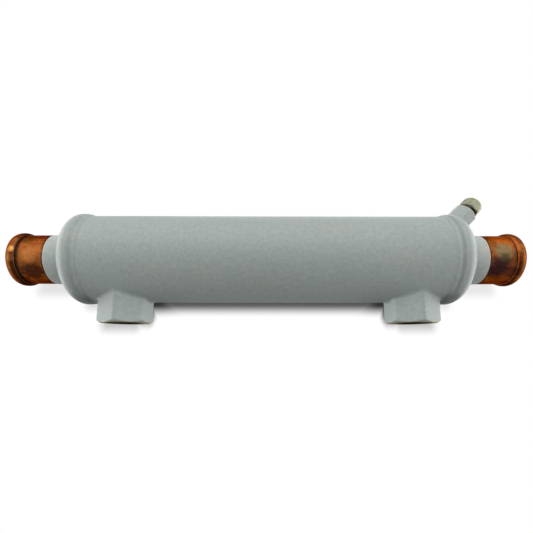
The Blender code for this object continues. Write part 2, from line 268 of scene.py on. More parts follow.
class Graph:
    """Fills a node tree, every node through one method."""

    def __init__(self, tree):
        self.tree = tree

    def node(self, kind, settings=None, inputs=None, output=0):
        """Add a node: its settings first, then the values or links of its sockets."""
        node = self.tree.nodes.new(kind)
        for name, value in (settings or {}).items():
            if name == "stops":
                self.set_stops(node.color_ramp, value)
            else:
                setattr(node, name, value)
        for key, value in (inputs or {}).items():
            self.feed(node.inputs[key], value)
        return Wire(self, node.outputs[output]) if node.outputs else None

    def maths(self, operation, *values):
        """A Math node on values or wires."""
        return self.node("ShaderNodeMath", {"operation": operation}, dict(enumerate(values)))

    def vector_maths(self, operation, *values):
        """A Vector Math node; its number where the result is one."""
        output = "Value" if operation in ("LENGTH", "DISTANCE", "DOT_PRODUCT") else "Vector"
        settings = {"operation": operation}
        return self.node("ShaderNodeVectorMath", settings, dict(enumerate(values)), output)

    def scaled(self, vector, amount):
        """A vector or colour times a number."""
        settings = {"operation": "SCALE"}
        return self.node("ShaderNodeVectorMath", settings, {0: vector, "Scale": amount})

    def feed(self, socket, value):
        """Link wires to a socket, or set its value."""
        if isinstance(value, Wire):
            self.tree.links.new(value.socket, socket)
        elif isinstance(value, list):
            for wire in value:
                self.tree.links.new(wire.socket, socket)
        else:
            socket.default_value = value

    @staticmethod
    def set_stops(ramp, stops):
        while len(ramp.elements) > 1:
            ramp.elements.remove(ramp.elements[-1])
        for index, (position, value) in enumerate(stops):
            element = ramp.elements[0] if index == 0 else ramp.elements.new(position)
            element.position = position
            element.color = value


class Finish(Graph):
    """A procedural material on the piece's own coordinates."""

    def __init__(self, name, roughness=0.5, metallic=0.0):
        self.material = bpy.data.materials.new(name)
        self.material.use_nodes = True
        super().__init__(self.material.node_tree)
        self.shader = self.tree.nodes["Principled BSDF"]
        self.shader.inputs["Roughness"].default_value = roughness
        self.shader.inputs["Metallic"].default_value = metallic
        self.place = self.node("ShaderNodeTexCoord", output="Object")
        split = self.node("ShaderNodeSeparateXYZ", inputs={0: self.place})
        self.x = split
        self.y = split.output("Y")
        self.z = split.output("Z")

    def noise(self, scale, detail=2.0, stretch=(1.0, 1.0, 1.0), offset=0.0, rough=0.5):
        """Noise from 0 to 1, with features about 1/scale metres across."""
        moved = self.node(
            "ShaderNodeMapping",
            inputs={"Vector": self.place, "Location": (offset, offset, offset), "Scale": stretch},
        )
        return self.node(
            "ShaderNodeTexNoise",
            inputs={"Vector": moved, "Scale": scale, "Detail": detail, "Roughness": rough},
        )

    def band(self, value, low, high):
        """A smooth step from 0 at low to 1 at high."""
        settings = {"interpolation_type": "SMOOTHSTEP"}
        inputs = {"Value": value, "From Min": low, "From Max": high}
        return self.node("ShaderNodeMapRange", settings, inputs)

    def fade(self, value, low, high):
        """A smooth step from 1 at low to 0 at high."""
        return 1.0 - self.band(value, low, high)

    def mix(self, factor, first, second):
        """Blend two colours."""
        settings = {"data_type": "RGBA"}
        first, second = (
            tint if isinstance(tint, Wire) else (*tint[:3], 1.0) for tint in (first, second)
        )
        return self.node("ShaderNodeMix", settings, {0: factor, 6: first, 7: second}, output=2)

    def spot(self, centre, size, wobble):
        """A soft-edged patch round a point, its edge broken up by noise."""
        centre_point = tuple(value * MM for value in centre)
        reach = self.vector_maths("DISTANCE", self.place, centre_point)
        return self.fade(reach / (size * MM) + (wobble - 0.5) * 1.1, 0.45, 1.05)

    def relief(self, height, depth, strength):
        """Surface relief of a height from 0 to 1, depth in millimetres."""
        inputs = {"Height": height, "Distance": depth * MM, "Strength": strength}
        self.feed(self.shader.inputs["Normal"], self.node("ShaderNodeBump", inputs=inputs))

    def finish(self, **surface):
        """Feed the shader's sockets, named in lower case."""
        for name, value in surface.items():
            self.feed(self.shader.inputs[name.replace("_", " ").title()], value)
        return self.material


# ---------------------------------------------------------------- finishes
def enamel_colour(paint, coat, end_light_painted):
    """Cloudy grey enamel, lighter toward the ends as painted light, with soiling and painted shade
    along the seams and painted shade low on the caps.
    """
    cloud = paint.noise(30.0, 3.0)
    cast = paint.noise(46.0, 2.0, offset=0.7)
    grain = paint.noise(520.0, 3.0, rough=0.6)
    # Painted light: lighter enamel toward the ends, where the domes and collars catch brighter
    # light.
    lit_toward_end = paint.band(abs(paint.x), SEAM_X + 3.0 * MM, SEAM_X + 18.0 * MM)
    tone = (0.735 + cloud * 0.10 + grain * 0.45) * (1.0 + lit_toward_end * end_light_painted)
    base = paint.mix(paint.band(cast, 0.52, 0.78) * 0.34, tuple(coat.body), tuple(coat.warm))
    from_seam = abs(abs(paint.x) - SEAM_X - 1.5 * MM)
    breakup = paint.noise(130.0, 3.0, offset=0.3)
    is_right = paint.band(paint.x, -0.05, 0.05)
    # The seam line is partly soiling and partly painted shade in the crease where cap and shell
    # meet.
    line = paint.fade(from_seam, 0.1 * MM, (2.6 - is_right * 0.9) * MM)
    dirt_and_shade = line * (0.34 + is_right * 0.14) * (0.55 + paint.band(breakup, 0.22, 0.62) * 0.45)
    # Painted shade low on each cap, in the dark corner beside the oil port.
    for side in (-1, 1):
        shade_under_rim = paint.spot((side * 103.5, -8.0, 13.0), 7.5, breakup)
        dirt_and_shade = paint.maths("MAXIMUM", dirt_and_shade, shade_under_rim * 0.55)
    return paint.mix(dirt_and_shade, paint.scaled(base, tone), tuple(coat.grime_and_shade)), grain


def enamel_relief(paint):
    """Orange peel and fine grit."""
    peel = paint.noise(760.0, 2.0)
    grit = paint.noise(2600.0, 2.0, offset=0.4)
    return peel * 0.7 + grit * 0.3


def body_enamel(coat):
    paint = Finish("grey_enamel_coat", coat.roughness)
    tint, grain = enamel_colour(paint, coat, coat.lighter)
    thin = paint.spot((108.5, -9.0, 57.5), 9.0, paint.noise(160.0, 3.0))
    tint = paint.mix(thin * 0.55, tint, (0.42, 0.375, 0.31))
    paint.relief(enamel_relief(paint), 0.07, 0.55)
    return paint.finish(base_color=tint, roughness=coat.roughness - 0.06 + grain * 0.14)


def coupling_enamel(name, coat, bare_height, mouth):
    """Thin enamel over a brass coupling whose mouth face is bare."""
    paint = Finish(name, coat.roughness)
    tint, grain = enamel_colour(paint, coat, end_light_painted=0.0)
    wear = paint.noise(420.0, 3.0, offset=0.2)
    if mouth is None:
        height = paint.z
    else:
        axis = (math.sqrt(0.5), 0.0, math.sqrt(0.5))
        level = paint.vector_maths("DOT_PRODUCT", paint.place, axis)
        height = mouth.dot(Vector(axis)) - level
    bare = paint.fade(height + (wear - 0.5) * 0.5 * MM, bare_height * 0.5, bare_height)
    green = paint.fade(height, 1.5 * MM, 6.5 * MM) * paint.band(wear, 0.5, 0.75)
    tint = paint.mix(green * 0.4, tint, (0.27, 0.34, 0.29))
    tint = paint.mix(bare, tint, paint.mix(wear, (0.30, 0.25, 0.14), (0.46, 0.41, 0.27)))
    paint.relief(enamel_relief(paint), 0.08, 0.6)
    rough = coat.roughness + 0.02 + grain * 0.12
    return paint.finish(base_color=tint, roughness=rough, metallic=bare * 0.75)


def thread_brass():
    """Stained brass down inside the ports, darkened as painted shade for the dark of the bores."""
    metal = Finish("thread_brass", 0.42, 1.0)
    stain = metal.noise(240.0, 3.0)
    tint = metal.mix(stain, (0.018, 0.015, 0.009), (0.062, 0.048, 0.024))
    metal.relief(metal.noise(1500.0, 2.0), 0.04, 0.4)
    return metal.finish(base_color=tint, roughness=0.34 + stain * 0.25)


# Heat stains, painted highlights and painted shade on the spigots: centre, size, colour and
# strength.
HEAT_STAINS_AND_PAINTED_LIGHT = (
    ((134.5, -11.0, 47.0), 8.5, (0.560, 0.150, 0.036), 0.75),
    ((129.8, -13.8, 30.3), 9.4, (0.048, 0.019, 0.022), 0.95),
    ((132.0, -14.0, 39.4), 6.6, (0.275, 0.195, 0.095), 0.92),
    ((132.0, -13.6, 35.4), 3.6, (0.075, 0.058, 0.026), 0.85),
    # Painted shade: the darker underside of the right spigot.
    ((137.0, -12.0, 26.0), 6.5, (0.110, 0.030, 0.018), 0.85),
    ((-128.0, -9.0, 47.2), 3.2, (0.230, 0.035, 0.045), 0.75),
    ((-129.0, -11.6, 43.5), 2.6, (0.230, 0.035, 0.035), 0.70),
    # Painted shade: the darker top of the left spigot.
    ((-133.5, -9.5, 47.5), 7.0, (0.170, 0.066, 0.020), 0.85),
    # Painted shade: the darker underside of the left spigot.
    ((-131.0, -11.0, 27.5), 8.0, (0.075, 0.026, 0.013), 0.92),
    ((-131.5, -14.0, 36.5), 5.6, (0.520, 0.190, 0.050), 0.80),
    # Painted highlights on the left bead.
    ((-140.9, -15.0, 40.0), 2.3, (0.860, 0.440, 0.120), 0.75),
    ((-140.7, -15.2, 35.0), 2.4, (0.520, 0.210, 0.065), 0.70),
)


def masked_copper(coat, spigot):
    """Heat-tarnished copper beyond a masked edge, painted up to it, with painted highlights and
    painted shade.
    """
    metal = Finish("masked_copper", 0.4)
    out = abs(metal.x)
    patch = metal.noise(95.0, 4.0, rough=0.62)
    streak = metal.noise(210.0, 4.0, stretch=(0.45, 1.0, 1.0), offset=0.5, rough=0.65)
    fine = metal.noise(620.0, 3.0, offset=0.1)
    is_right = metal.band(metal.x, -0.01, 0.01)
    heat = metal.band(patch + (streak - 0.5) * 0.6, 0.26, 0.70)
    tint = metal.mix(heat, tuple(spigot.tarnish_and_rim_shade), tuple(spigot.copper))
    red = metal.band(metal.noise(140.0, 3.0, offset=0.9), 0.50, 0.66)
    tint = metal.mix(red * (0.22 + is_right * 0.30), tint, (0.300, 0.062, 0.018))
    plum = metal.band(metal.noise(120.0, 3.0, offset=0.25), 0.56, 0.70)
    tint = metal.mix(plum * 0.5, tint, (0.130, 0.030, 0.026))
    edge = fine * 1.1
    for centre, size, shade, strength in HEAT_STAINS_AND_PAINTED_LIGHT:
        mark = metal.spot(centre, size, streak * 0.7 + edge * 0.3)
        tint = metal.mix(mark * strength, tint, shade)
    beyond_bead = END_X - spigot.bead_length
    # The groove behind the bead is partly blackening and partly painted shade in the hollow
    # between bead and tube.
    groove = metal.fade(abs(out - beyond_bead + 0.5 * MM), 0.4 * MM, 1.7 * MM)
    groove = groove * (1.0 - is_right * 0.85)
    tint = metal.mix(groove * (0.45 + streak * 0.75), tint, tuple(spigot.soot_and_shade))
    bead = metal.band(out, END_X - spigot.bead_length * 0.72, END_X - spigot.bead_length * 0.3)
    tint = metal.mix(bead * 0.5, tint, (0.380, 0.130, 0.036))
    # Painted shade: the outer rim of each bead darkened, standing in for the dark reflection
    # there.
    rim = metal.band(out, END_X - 2.2 * MM, END_X - 0.8 * MM)
    tint = metal.mix(rim * 0.75, tint, tuple(spigot.tarnish_and_rim_shade))
    tint = metal.scaled(tint, 0.40 + fine * 1.05)
    from_axis = metal.node("ShaderNodeCombineXYZ", inputs={1: metal.y, 2: metal.z - AXIS_Z})
    reach = metal.vector_maths("LENGTH", from_axis)
    inside = metal.fade(reach, spigot.radius - 0.8 * MM, spigot.radius - 0.5 * MM)
    tint = metal.mix(inside * 0.72, tint, (0.085, 0.036, 0.022))
    enamel, grain = enamel_colour(metal, coat, coat.lighter)
    wavy = (metal.noise(150.0, 2.0, offset=0.6) - 0.5) * 0.7 * MM
    ragged = out + wavy + (fine - 0.5) * 0.25 * MM
    painted = metal.fade(ragged, coat.masked_at - 0.1 * MM, coat.masked_at + 0.1 * MM)
    painted = painted * (1.0 - inside)
    # Painted highlight along the raised lip at the edge of the paint.
    lip = metal.fade(abs(ragged - coat.masked_at + 0.35 * MM), 0.1 * MM, 0.42 * MM)
    enamel = metal.mix(lip * 0.75, enamel, (0.47, 0.45, 0.39))
    # Painted shadow along the edge of the paint, on the copper side.
    shadow = metal.fade(abs(ragged - coat.masked_at - 0.4 * MM), 0.1 * MM, 0.7 * MM)
    tint = metal.mix(shadow * 0.7, tint, tuple(spigot.soot_and_shade))
    tint = metal.mix(painted, tint, enamel)
    bare = 1.0 - painted
    rough = bare * (0.24 + streak * 0.20 + fine * 0.08) + painted * (coat.roughness + grain * 0.08)
    metal.relief(fine * 0.5 + streak * 0.5, 0.10, 0.65)
    metal.shader.inputs["Specular Tint"].default_value = (0.45, 0.28, 0.20, 1.0)
    return metal.finish(base_color=tint, roughness=rough, metallic=bare)


def plug_brass(plug):
    """Dull brass with traces of overspray, and painted shade in the gap below the head."""
    metal = Finish("plug_brass_dull", 0.42)
    stain = metal.noise(380.0, 3.0)
    trace = metal.band(metal.noise(300.0, 3.0, offset=0.4), 0.44, 0.60)
    tint = metal.mix(metal.band(stain, 0.3, 0.7), (0.20, 0.19, 0.115), tuple(plug.brass))
    tint = metal.mix(trace * 0.72, tint, (0.335, 0.335, 0.290))
    along = metal.vector_maths("DOT_PRODUCT", metal.place, tuple(PLUG_AXIS))
    level = along - PLUG_MOUTH.dot(PLUG_AXIS)
    # Painted shade in the gap between the head and the boss.
    shade_under_head = metal.fade(level, plug.neck - 0.6 * MM, plug.neck + 1.3 * MM)
    tint = metal.mix(shade_under_head * 0.85, tint, (0.045, 0.045, 0.026))
    metal.relief(stain, 0.06, 0.5)
    rough = 0.36 + stain * 0.22
    return metal.finish(base_color=tint, roughness=rough, metallic=0.75 - trace * 0.6)


def plain_metal(name, dark, light, roughness, grain=900.0):
    """A metal with stained and clean areas and a fine drawn grain."""
    metal = Finish(name, roughness, 1.0)
    stain = metal.noise(170.0, 3.0)
    fine = metal.noise(grain, 2.0, stretch=(0.1, 1.0, 1.0))
    metal.relief(fine, 0.03, 0.4)
    tint = metal.mix(stain, dark, light)
    return metal.finish(base_color=tint, roughness=roughness - 0.08 + stain * 0.16)


# ---------------------------------------------------------------- meshes
def add_piece(name, mesh, *materials):
    """Link a finished mesh as an object at the origin."""
    for material in materials:
        mesh.materials.append(material)
    piece = bpy.data.objects.new(name, mesh)
    bpy.context.scene.collection.objects.link(piece)
    return piece


def smooth_rounds(mesh):
    """Shade round surfaces smooth and keep the corners sharp."""
    mesh.shade_smooth()
    mesh.set_sharp_from_angle(angle=math.radians(SHARP_DEGREES))


def close_mesh(name, bm):
    """Turn a bmesh into a mesh that faces outwards, with smooth round surfaces."""
    bmesh.ops.remove_doubles(bm, verts=bm.verts, dist=1e-7)
    bmesh.ops.recalc_face_normals(bm, faces=bm.faces)
    mesh = bpy.data.meshes.new(name)
    bm.to_mesh(mesh)
    bm.free()
    smooth_rounds(mesh)
    return mesh


def skin_rings(name, rings, place, looped=True):
    """Skin rings of (along, radius) round the local X axis, first to last and back."""
    bm = bmesh.new()
    count = len(rings[0])
    rows = []
    for ring in rings:
        row = []
        for index, (along, radius) in enumerate(ring):
            angle = math.tau * index / count
            spot = Vector((along, radius * math.sin(angle), radius * math.cos(angle)))
            row.append(bm.verts.new(place @ spot))
        rows.append(row)
    following = rows[1:] + rows[:1] if looped else rows[1:]
    for lower, upper in zip(rows, following):
        for index in range(count):
            after = (index + 1) % count
            bm.faces.new((lower[index], lower[after], upper[after], upper[index]))
    if not looped:
        bm.faces.new(rows[0])
        bm.faces.new(rows[-1])
    return close_mesh(name, bm)


def even_ring(along, radius, count):
    """A plain round ring."""
    return [(along, radius)] * count


def eased(points, steps=5):
    """Round the corners of a closed outline of (along, radius, size of the rounding)."""
    outline = []
    for index, (x, r, size) in enumerate(points):
        here = Vector((x, r))
        if size <= 0.0:
            outline.append(tuple(here))
            continue
        before = Vector(points[index - 1][:2]) - here
        after = Vector(points[(index + 1) % len(points)][:2]) - here
        start = here + before.normalized() * min(size, before.length * 0.45)
        end = here + after.normalized() * min(size, after.length * 0.45)
        for step in range(steps + 1):
            t = step / steps
            outline.append(tuple(start * (1 - t) ** 2 + here * 2 * t * (1 - t) + end * t**2))
    return outline


def turned(name, outline, place, segments=192):
    """Turn a closed outline about the local X axis."""
    rings = [even_ring(along, radius, segments) for along, radius in outline]
    return skin_rings(name, rings, place)


def carve(piece, cutter):
    """Cut one mesh out of another and keep the plain result."""
    modifier = piece.modifiers.new("carve", "BOOLEAN")
    modifier.operation = "DIFFERENCE"
    modifier.solver = "EXACT"
    modifier.object = cutter
    keep_result(piece)
    bpy.data.objects.remove(cutter, do_unlink=True)


def keep_result(piece):
    """Replace a piece's mesh by what its modifiers make, and drop them."""
    graph = bpy.context.evaluated_depsgraph_get()
    result = bpy.data.meshes.new_from_object(piece.evaluated_get(graph))
    piece.modifiers.clear()
    piece.data = result
    smooth_rounds(result)


def faces_outwards(side):
    """Local X points to the end named by side, from the middle of the shell's axis."""
    spin = Matrix.Identity(4) if side > 0 else Matrix.Rotation(math.pi, 4, "Z")
    return Matrix.Translation((0.0, 0.0, AXIS_Z)) @ spin


# ---------------------------------------------------------------- rolled and drilled pieces
AXIS_TO_X = (math.pi / 2, 0.0, math.pi / 2)


def geometry_graph(name, inputs):
    """A geometry tree with named inputs, whole numbers or measures."""
    tree = bpy.data.node_groups.new(name, "GeometryNodeTree")
    tree.is_modifier = True
    tree.interface.new_socket("Geometry", in_out="OUTPUT", socket_type="NodeSocketGeometry")
    for label, value in inputs.items():
        kind = "NodeSocketInt" if isinstance(value, int) else "NodeSocketFloat"
        tree.interface.new_socket(label, in_out="INPUT", socket_type=kind)
    graph = Graph(tree)
    sockets = graph.node("NodeGroupInput")
    return graph, {label: sockets.output(label) for label in inputs}


def grow(name, graph, geometry, inputs, material):
    """End a tree in Realize Instances and Set Material, and keep its mesh as a piece."""
    real = graph.node("GeometryNodeRealizeInstances", inputs={0: geometry})
    coated = graph.node("GeometryNodeSetMaterial", inputs={0: real, "Material": material})
    graph.node("NodeGroupOutput", inputs={0: coated})
    piece = add_piece(name, bpy.data.meshes.new(name))
    modifier = piece.modifiers.new("grow", "NODES")
    modifier.node_group = graph.tree
    for item in graph.tree.interface.items_tree:
        if item.in_out == "INPUT":
            modifier[item.identifier] = inputs[item.name]
    keep_result(piece)
    return piece


def circle(graph, radius, segments):
    """A circular curve about local Z."""
    inputs = {"Resolution": segments, "Radius": radius}
    return graph.node("GeometryNodeCurvePrimitiveCircle", {"mode": "RADIUS"}, inputs)


def rolled_tube(graph, size, cuts):
    """A walled tube about local Z: a flat strip's section, swept round a circle."""
    path = circle(graph, size["Radius"] - size["Wall"] / 2, size["Segments"])
    section = graph.node(
        "GeometryNodeCurvePrimitiveQuadrilateral",
        {"mode": "RECTANGLE"},
        {"Width": size["Wall"], "Height": size["Length"]},
    )
    section = graph.node("GeometryNodeSubdivideCurve", inputs={0: section, "Cuts": cuts})
    return graph.node("GeometryNodeCurveToMesh", inputs={0: path, 1: section})


def laid_along_x(graph, geometry, height, x=0.0):
    """Turn local Z to world X, and move."""
    shift = graph.node("ShaderNodeCombineXYZ", inputs={0: x, 2: height})
    inputs = {0: geometry, "Rotation": AXIS_TO_X, "Translation": shift}
    return graph.node("GeometryNodeTransform", inputs=inputs)


def build_shell(shell, coat_material):
    """The rolled shell, a little uneven, with an oil hole under each port."""
    reach = SHELL_BOX[1].x - SHELL_BOX[0].x
    inputs = {
        "Length": reach,
        "Radius": SHELL_R - shell.waviness / 2,
        "Wall": shell.wall,
        "Waviness": shell.waviness,
        "Hole Radius": shell.hole,
        "Left Hole": PORT_X["left"],
        "Right Hole": PORT_X["right"],
        "Axis Height": AXIS_Z,
        "Segments": shell.segments,
        "Cuts": shell.cuts,
    }
    graph, size = geometry_graph("rolled_shell", inputs)
    tube = rolled_tube(graph, size, size["Cuts"])
    tube = laid_along_x(graph, tube, size["Axis Height"])
    dent = graph.node("ShaderNodeTexNoise", {"noise_dimensions": "4D"}, {"W": 3.0, "Scale": 34.0})
    outwards = graph.node("GeometryNodeInputNormal")
    offset = graph.scaled(outwards, (dent - 0.5) * size["Waviness"])
    tube = graph.node("GeometryNodeSetPosition", inputs={0: tube, "Offset": offset})
    drill = graph.node(
        "GeometryNodeMeshCylinder",
        inputs={"Vertices": 64, "Radius": size["Hole Radius"], "Depth": size["Radius"]},
    )
    below = size["Axis Height"] - size["Radius"]
    holes = []
    for label in ("Left Hole", "Right Hole"):
        spot = graph.node("ShaderNodeCombineXYZ", inputs={0: size[label], 2: below})
        holes.append(graph.node("GeometryNodeTransform", inputs={0: drill, "Translation": spot}))
    cutters = graph.node("GeometryNodeJoinGeometry", inputs={0: holes})
    drilled = graph.node(
        "GeometryNodeMeshBoolean",
        {"operation": "DIFFERENCE", "solver": "EXACT"},
        {0: tube, 1: cutters},
    )
    piece = grow("rolled_shell", graph, drilled, inputs, coat_material)
    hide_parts("shell")
    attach(piece, "cooler")


def lattice(graph, pitch, field):
    """Points of a triangular lattice centred on a triangle's middle, inside a circle."""
    number = graph.node("GeometryNodeInputIndex")
    middle = (LATTICE_SIDE - 1) / 2
    row = (number / LATTICE_SIDE).floor() - middle
    column = number % LATTICE_SIDE - middle
    across = (column + (row % 2.0) * 0.5 + 0.5) * pitch
    up = (row * (math.sqrt(3) / 2) + 1 / math.sqrt(12)) * pitch
    spot = graph.node("ShaderNodeCombineXYZ", inputs={0: across, 1: up})
    points = graph.node("GeometryNodePoints", inputs={"Count": LATTICE_SIDE**2, "Position": spot})
    reach = graph.vector_maths("LENGTH", graph.node("GeometryNodeInputPosition"))
    return graph.node(
        "GeometryNodeDeleteGeometry", {"domain": "POINT"}, {0: points, "Selection": reach > field}
    )


def build_tubes(core, material):
    """The cooling tubes, one on every lattice point."""
    outside = (TUBE_BOX[1].z - TUBE_BOX[0].z) / 2
    inputs = {
        "Length": TUBE_BOX[1].x - TUBE_BOX[0].x,
        "Radius": outside,
        "Wall": core.wall,
        "Pitch": core.pitch,
        "Field": core.field,
        "Axis Height": AXIS_Z,
        "Segments": core.segments,
    }
    graph, size = geometry_graph("cooling_tubes", inputs)
    tube = rolled_tube(graph, size, 0)
    points = lattice(graph, size["Pitch"], size["Field"])
    bundle = graph.node("GeometryNodeInstanceOnPoints", inputs={0: points, "Instance": tube})
    bundle = laid_along_x(graph, bundle, size["Axis Height"])
    piece = grow("cooling_tubes", graph, bundle, inputs, material)
    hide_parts(*(name for name in frame["nodes"] if name.startswith("cooling_tube_")))
    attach(piece, "cooler")


def build_tube_sheets(core, material):
    """The two drilled plates that hold the tubes."""
    thickness = SHEET_BOX[1].x - SHEET_BOX[0].x
    inputs = {
        "Radius": (SHEET_BOX[1].z - SHEET_BOX[0].z) / 2,
        "Thickness": thickness,
        "Hole Radius": (TUBE_BOX[1].z - TUBE_BOX[0].z) / 2 + 0.12 * MM,
        "Pitch": core.pitch,
        "Field": core.field,
        "Place": SHEET_BOX[0].x,
        "Axis Height": AXIS_Z,
    }
    graph, size = geometry_graph("tube_sheets", inputs)
    rim = circle(graph, size["Radius"], 96)
    hole = circle(graph, size["Hole Radius"], 24)
    points = lattice(graph, size["Pitch"], size["Field"])
    holes = graph.node("GeometryNodeInstanceOnPoints", inputs={0: points, "Instance": hole})
    holes = graph.node("GeometryNodeRealizeInstances", inputs={0: holes})
    curves = graph.node("GeometryNodeJoinGeometry", inputs={0: [rim, holes]})
    disc = graph.node("GeometryNodeFillCurve", inputs={0: curves})
    thick = graph.node(
        "GeometryNodeExtrudeMesh",
        {"mode": "FACES"},
        {0: disc, "Offset Scale": size["Thickness"], "Individual": False},
    )
    back = graph.node("GeometryNodeFlipFaces", inputs={0: disc})
    plate = graph.node("GeometryNodeJoinGeometry", inputs={0: [thick, back]})
    plate = graph.node("GeometryNodeMergeByDistance", inputs={0: plate, "Distance": 0.01 * MM})
    plates = []
    for place in (size["Place"], -1.0 * size["Place"] - size["Thickness"]):
        plates.append(laid_along_x(graph, plate, size["Axis Height"], place))
    both = graph.node("GeometryNodeJoinGeometry", inputs={0: plates})
    piece = grow("tube_sheets", graph, both, inputs, material)
    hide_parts("tube_sheet_left", "tube_sheet_right")
    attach(piece, "cooler")


# ---------------------------------------------------------------- turned pieces
def cap_outside(cap, rings=26):
    """(along, radius) of a cap's outside, from its seam to where it meets the spigot."""
    rise = CAP_R - SHELL_R
    crest = SEAM_X + cap.rim
    neck = crest + cap.shoulder
    points = [
        (SEAM_X - 0.9 * MM, SHELL_R + 0.02 * MM),
        (SEAM_X - 0.3 * MM, SHELL_R + rise * 0.14),
        (SEAM_X + 0.3 * MM, SHELL_R + rise * 0.46),
        (SEAM_X + 1.0 * MM, SHELL_R + rise * 0.74),
        (SEAM_X + 2.2 * MM, SHELL_R + rise * 0.92),
    ]
    root = cap.throat + 0.75 * MM
    for step in range(rings + 1):
        angle = math.pi / 2 * step / rings
        fall = max(math.cos(angle), 0.0) ** (2 / cap.power)
        reach = math.sin(angle) ** (2 / cap.power)
        points.append((crest + (neck - crest) * reach, root + (CAP_R - root) * fall))
    while points[-1][1] < cap.throat + 2.7 * MM:
        points.pop()
    start_x, start_r = points[-1]
    for step in range(1, 8):
        t = step / 7
        along = start_x + (COLLAR_END_X - start_x) * t
        points.append((along, cap.throat + (start_r - cap.throat) * (1 - t) ** 2.2))
    return points


def build_end_caps(cap, sizes, coat_material):
    """The spun caps, each with a soft braze at the seam and a paint fillet at the neck."""
    outside = cap_outside(cap)
    bore = sizes.radius + 0.02 * MM
    inner_shell = SHELL_R + 0.01 * MM
    dome = [(x - cap.wall * 0.7, r - cap.wall) for x, r in outside if x > SEAM_X + cap.rim]
    inside = [(x, r) for x, r in reversed(dome) if r > bore + 0.3 * MM]
    outline = outside + [(COLLAR_END_X + 0.05 * MM, bore)]
    outline += inside + [(SEAM_X + cap.rim - 0.8 * MM, inner_shell)]
    outline.append((SEAM_X - 0.9 * MM, inner_shell - 0.05 * MM))
    for label, side in (("left", -1), ("right", 1)):
        mesh = turned(f"end_cap_{label}", outline, faces_outwards(side))
        piece = add_piece(f"spun_cap_{label}", mesh, coat_material)
        if side > 0:
            drill = [even_ring(x * MM, cap.zinc_hole, 48) for x in (-18.0, -9.0)]
            cutter = skin_rings("zinc_hole", drill, plug_frame(), looped=False)
            carve(piece, add_piece("zinc_hole", cutter))
        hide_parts(f"end_cap_{label}")
        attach(piece, "cooler")


def build_spigots(spigot, coat, material):
    """Copper hose spigots: rolled bead, bare end, and paint up to the mask."""
    bore = spigot.radius - spigot.wall
    start = SEAM_X + spigot.start
    bead_x = END_X - spigot.bead_length / 2
    outline = [
        (start, bore),
        (start, spigot.radius),
        (COLLAR_END_X - 1.0 * MM, spigot.radius + coat.film),
        (coat.masked_at - 0.25 * MM, spigot.radius + coat.film),
        (coat.masked_at - 0.05 * MM, spigot.radius + coat.film * 0.7),
        (coat.masked_at + 0.05 * MM, spigot.radius),
        (END_X - spigot.bead_length - 1.1 * MM, spigot.radius),
    ]
    for step in range(25):
        angle = math.radians(180 - 172 * step / 24)
        swell = math.sin(angle) ** 0.92 if step else 0.0
        along = bead_x + spigot.bead_length / 2 * math.cos(angle)
        outline.append((along, spigot.radius + spigot.bead * swell))
    lip = spigot.radius - 0.45 * MM
    outline += [(END_X, lip), (END_X, bore + 0.35 * MM), (END_X - 0.5 * MM, bore)]
    for label, side in (("left", -1), ("right", 1)):
        mesh = turned(f"hose_spigot_{label}", outline, faces_outwards(side))
        piece = add_piece(f"beaded_spigot_{label}", mesh, material)
        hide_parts(f"hose_spigot_{label}")
        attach(piece, "cooler")


# ---------------------------------------------------------------- hexagonal couplings
def plug_frame():
    """Local X points out of the boss, from the middle of its mouth."""
    turn = Matrix.Rotation(-math.radians(45), 4, "Y")
    return Matrix.Translation(PLUG_MOUTH) @ turn


def port_frame(x, turn):
    """Local X points down out of a port, from the middle of its mouth."""
    down = Matrix.Rotation(math.pi / 2, 4, "Y")
    spin = Matrix.Rotation(math.pi / 2 + turn, 4, "X")
    return Matrix.Translation((x, 0.0, 0.0)) @ down @ spin


def hexagon(angle, across_flats, sharpness=26.0):
    """Radius of a hexagon with softened corners."""
    from_flat = (angle + math.pi / 6) % (math.pi / 3) - math.pi / 6
    corner = across_flats / math.sqrt(3) * 0.99
    flat = across_flats / 2 / math.cos(math.pi / 6 - abs(from_flat))
    return (flat**-sharpness + corner**-sharpness) ** (-1 / sharpness)


def thread_wave(along, pitch, angle):
    """Height of a helical thread's side, from -1 at its root to 1 at its crest."""
    phase = (along / pitch - angle / math.tau) % 1.0
    return abs(phase - 0.5) * 4 - 1


def body_radius(x, outside):
    """Outside radius of the shell and caps at a place along the axis."""
    x = abs(x)
    if x <= outside[0][0]:
        return SHELL_R
    for (x0, r0), (x1, r1) in zip(outside, outside[1:]):
        if x <= x1:
            return r0 + (r1 - r0) * (x - x0) / max(x1 - x0, 1e-9)
    return outside[-1][1]


def seat(place, angle, radius, outside, deepest):
    """Where a line along a coupling first meets the shell or cap, below its mouth."""
    high, low = 0.0, -deepest
    for _ in range(26):
        middle = (high + low) / 2
        spot = place @ Vector((middle, radius * math.sin(angle), radius * math.cos(angle)))
        if math.hypot(spot.y, spot.z - AXIS_Z) > body_radius(spot.x, outside):
            high = middle
        else:
            low = middle
    return high


